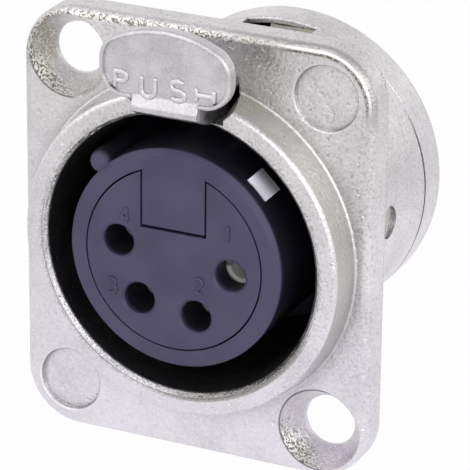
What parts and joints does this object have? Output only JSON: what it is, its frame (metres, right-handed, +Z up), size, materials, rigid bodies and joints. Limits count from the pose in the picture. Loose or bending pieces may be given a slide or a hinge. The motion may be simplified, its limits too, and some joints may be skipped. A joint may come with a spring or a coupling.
{
  "type": "xlr panel socket",
  "caption": "Panel-mount audio chassis socket with a screw flange, a round mouth, slotted female contacts in a dark insert, and a sprung push tab that releases the plug.",
  "frame": {"origin": "where the axis of the round mouth meets the flange's rear face, in the middle between the panel screws", "axes": "+Z up to the push tab, -Y out of the mouth to the mating plug, +Y behind the panel, +X to the right of someone facing the mouth"},
  "size_m": [0.026, 0.0275, 0.0322],
  "materials": {
    "shell": "die-cast zinc, satin nickel plated",
    "ring": "satin nickel plated",
    "latch": "die-cast zinc, satin nickel plated",
    "insert": "moulded, fine satin",
    "rear_insert": "moulded, fine satin",
    "contact": "brass, silver plated",
    "ground": "bronze strip, silver plated",
    "steel": "plain steel",
    "spring_steel": "spring steel strip"
  },
  "bodies": {
    "socket": {"housing": "shell", "rear_ring": "ring", "insert_sleeve": "insert", "insert_core": "insert", "insert_rear": "rear_insert", "contact_1": "contact", "contact_2": "contact", "contact_3": "contact", "contact_4": "contact", "ground_contact": "ground", "latch_pivot_pin": "steel", "latch_spring": "spring_steel", "spring_rivet": "steel"},
    "latch": {"latch_lever": "latch"}
  },
  "joints": [
    {"name": "latch_pivot", "type": "hinge", "parent": "socket", "child": "latch", "pos_m": [0, 0.001, 0.01035], "axis": [-1, 0, 0], "range_deg": [0, 11], "stiffness_Nm_per_rad": 0.06, "springref_deg": -8.59, "deforming": ["latch_spring"]}
  ]
}
